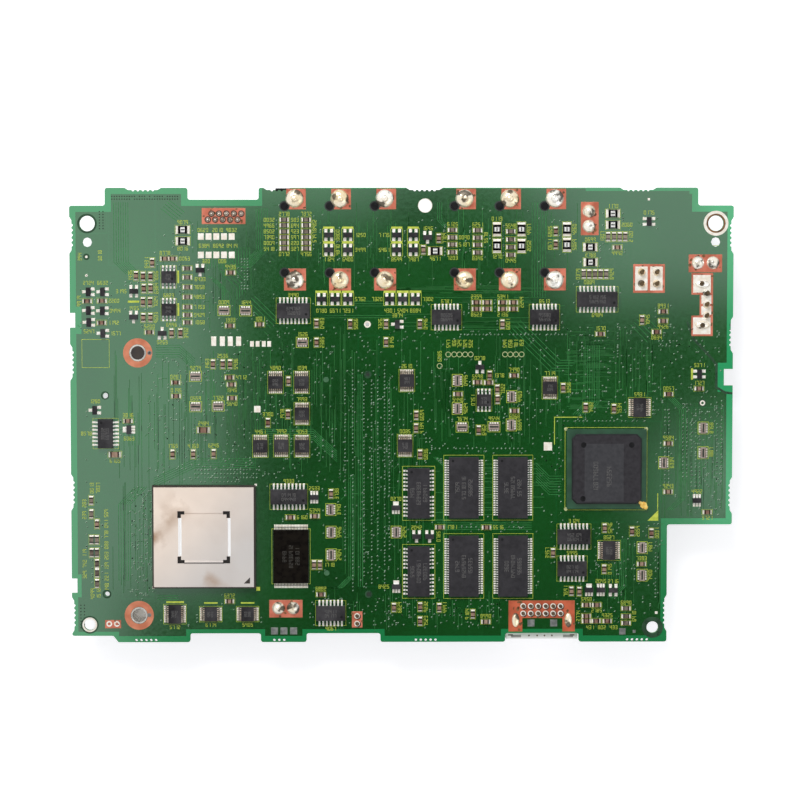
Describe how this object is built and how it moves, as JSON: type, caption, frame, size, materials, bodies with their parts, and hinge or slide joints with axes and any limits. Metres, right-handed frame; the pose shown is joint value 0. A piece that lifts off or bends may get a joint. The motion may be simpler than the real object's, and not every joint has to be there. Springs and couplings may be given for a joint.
{
  "type": "cnc control board",
  "caption": "Machine control circuit board, solder side up, with ball-grid chips, memory, fuse blocks and edge connectors.",
  "frame": {"origin": "under the middle of the board's outline, in the plane that the underside parts stand on", "axes": "+X along the long edge towards the supply connector, +Y across it towards the fuse blocks, +Z out of the solder side"},
  "size_m": [0.224, 0.154, 0.0196],
  "materials": {
    "solder_mask": "semi-gloss green solder mask on glass-epoxy laminate",
    "package_laminate": "dull green package laminate",
    "black_moulding": "fine matt moulding compound",
    "tinned_lead": "dull bright tin plating",
    "tan_ceramic": "fired ceramic",
    "resistor_ceramic": "dark glazed ceramic",
    "fuse_glass": "clear glass tube",
    "nickel_plate": "nickel plating",
    "capacitor_sleeve": "shrunk sleeve",
    "white_moulding": "natural nylon",
    "solder": "bright tin-lead solder"
  },
  "bodies": {
    "root": {"pcb": "solder_mask", "controller_substrate": "package_laminate", "controller_lid": "nickel_plate", "processor_substrate": "package_laminate", "processor_moulding": "black_moulding", "logic_chip_bodies": "black_moulding", "logic_chip_leads": "tinned_lead", "small_chip_bodies": "black_moulding", "small_chip_leads": "tinned_lead", "memory_chip_bodies": "black_moulding", "memory_chip_leads": "tinned_lead", "buffer_memory_bodies": "black_moulding", "buffer_memory_leads": "tinned_lead", "flash_chip_body": "black_moulding", "flash_chip_leads": "tinned_lead", "driver_chip_bodies": "black_moulding", "driver_chip_leads": "tinned_lead", "transistor_bodies": "black_moulding", "transistor_leads": "tinned_lead", "chip_capacitors": "tan_ceramic", "power_capacitors": "tan_ceramic", "chip_resistors": "resistor_ceramic", "power_resistors": "resistor_ceramic", "resistor_networks": "resistor_ceramic", "fuse_clips": "tinned_lead", "left_fuse_bases": "black_moulding", "right_fuse_bases": "black_moulding", "fuse_tubes": "fuse_glass", "fuse_caps": "nickel_plate", "can_capacitors": "capacitor_sleeve", "ground_standoffs": "nickel_plate", "zigzag_header_shell": "white_moulding", "zigzag_header_pins": "tinned_lead", "pair_header_body": "black_moulding", "pair_header_pins": "tinned_lead", "power_socket_shell": "black_moulding", "power_socket_pins": "tinned_lead", "supply_connector_housing": "black_moulding", "supply_connector_pins": "tinned_lead", "signal_connector_housing": "white_moulding", "signal_connector_contacts": "tinned_lead", "heavy_solder_joints": "solder", "can_solder_joints": "solder", "header_solder_joints": "solder", "supply_solder_joints": "solder", "tab_solder_joints": "solder"}
  },
  "joints": []
}
